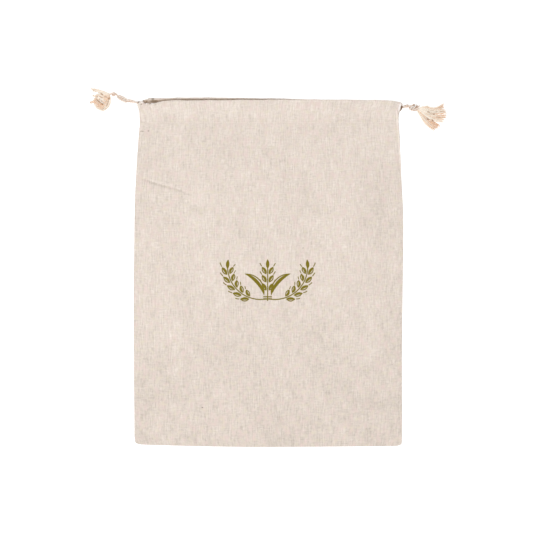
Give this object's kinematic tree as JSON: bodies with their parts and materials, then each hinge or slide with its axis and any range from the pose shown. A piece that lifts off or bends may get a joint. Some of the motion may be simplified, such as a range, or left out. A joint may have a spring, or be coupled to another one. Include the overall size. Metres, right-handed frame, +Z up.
{
  "type": "linen bread bag",
  "caption": "Flat linen drawstring bag for bread, lying on its back, with a channelled mouth, cords that draw from both sides and knotted tassels.",
  "frame": {"origin": "middle of the bag's underside, on the surface that it lies on; the cords and tassels are left out of that middle", "axes": "+Y from the closed bottom to the mouth, +X to the right as the front is seen, +Z up out of the front"},
  "size_m": [0.399, 0.401, 0.0156],
  "materials": {
    "linen": "matte natural linen, plain weave with slubs, olive printed sprigs on the front",
    "cotton_cord": "matte twisted cotton cord",
    "cotton_threads": "matte loose cotton threads"
  },
  "bodies": {
    "root": {"front_panel": "linen", "back_panel": "linen", "drawstring_left": "cotton_cord", "drawstring_right": "cotton_cord", "tassel_left": "cotton_threads", "tassel_right": "cotton_threads"}
  },
  "joints": []
}
